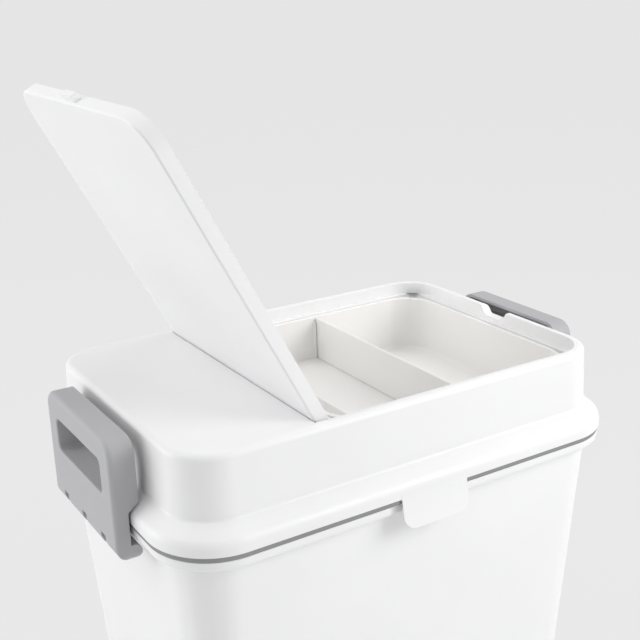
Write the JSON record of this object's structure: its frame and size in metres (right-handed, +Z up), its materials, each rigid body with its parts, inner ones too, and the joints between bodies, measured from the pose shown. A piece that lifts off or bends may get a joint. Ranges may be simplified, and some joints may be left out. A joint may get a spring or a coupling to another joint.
{
  "type": "pet food storage container",
  "caption": "Tapered food storage bin with a gasketed lid held by side clips, a hinged flap standing open, and a lift-out divided tray under it.",
  "frame": {"origin": "centre of the flat base, on the surface it stands on", "axes": "+Z up; X along the long side, from one clip to the other, with the flap hinged nearer the -X clip; the pull tab is on the -Y side"},
  "size_m": [0.422, 0.2819, 0.5667],
  "materials": {
    "white_plastic": "satin moulded polypropylene",
    "tray_plastic": "satin moulded polypropylene, slightly warm",
    "grey_plastic": "fine matte moulded",
    "silicone": "smooth matte",
    "steel": "drawn wire"
  },
  "bodies": {
    "root": {"bin_body": "white_plastic", "lid": "white_plastic", "lid_gasket": "silicone", "flap_pin_front": "steel", "flap_pin_back": "steel", "left_clip_pin": "steel", "right_clip_pin": "steel"},
    "flap": {"flap_cover": "white_plastic", "flap_liner": "white_plastic", "flap_seal": "silicone"},
    "tray": {"tray": "tray_plastic"},
    "divider": {"tray_divider": "tray_plastic"},
    "left_clip": {"left_clip": "grey_plastic"},
    "right_clip": {"right_clip": "grey_plastic"}
  },
  "joints": [
    {"name": "flap_hinge", "type": "hinge", "parent": "root", "child": "flap", "pos_m": [-0.07431, 0, 0.3405], "axis": [0, -1, 0], "range_deg": [-117.5, 0]},
    {"name": "left_clip_hinge", "type": "hinge", "parent": "root", "child": "left_clip", "pos_m": [-0.198, 0, 0.2575], "axis": [0, -1, 0], "range_deg": [0, 120]},
    {"name": "right_clip_hinge", "type": "hinge", "parent": "root", "child": "right_clip", "pos_m": [0.198, 0, 0.2575], "axis": [0, 1, 0], "range_deg": [0, 120]},
    {"name": "tray_lift", "type": "slide", "parent": "root", "child": "tray", "axis": [0, 0, 1], "range_m": [0, 0.075]},
    {"name": "divider_lift", "type": "slide", "parent": "tray", "child": "divider", "axis": [0, 0, 1], "range_m": [0, 0.05]}
  ]
}
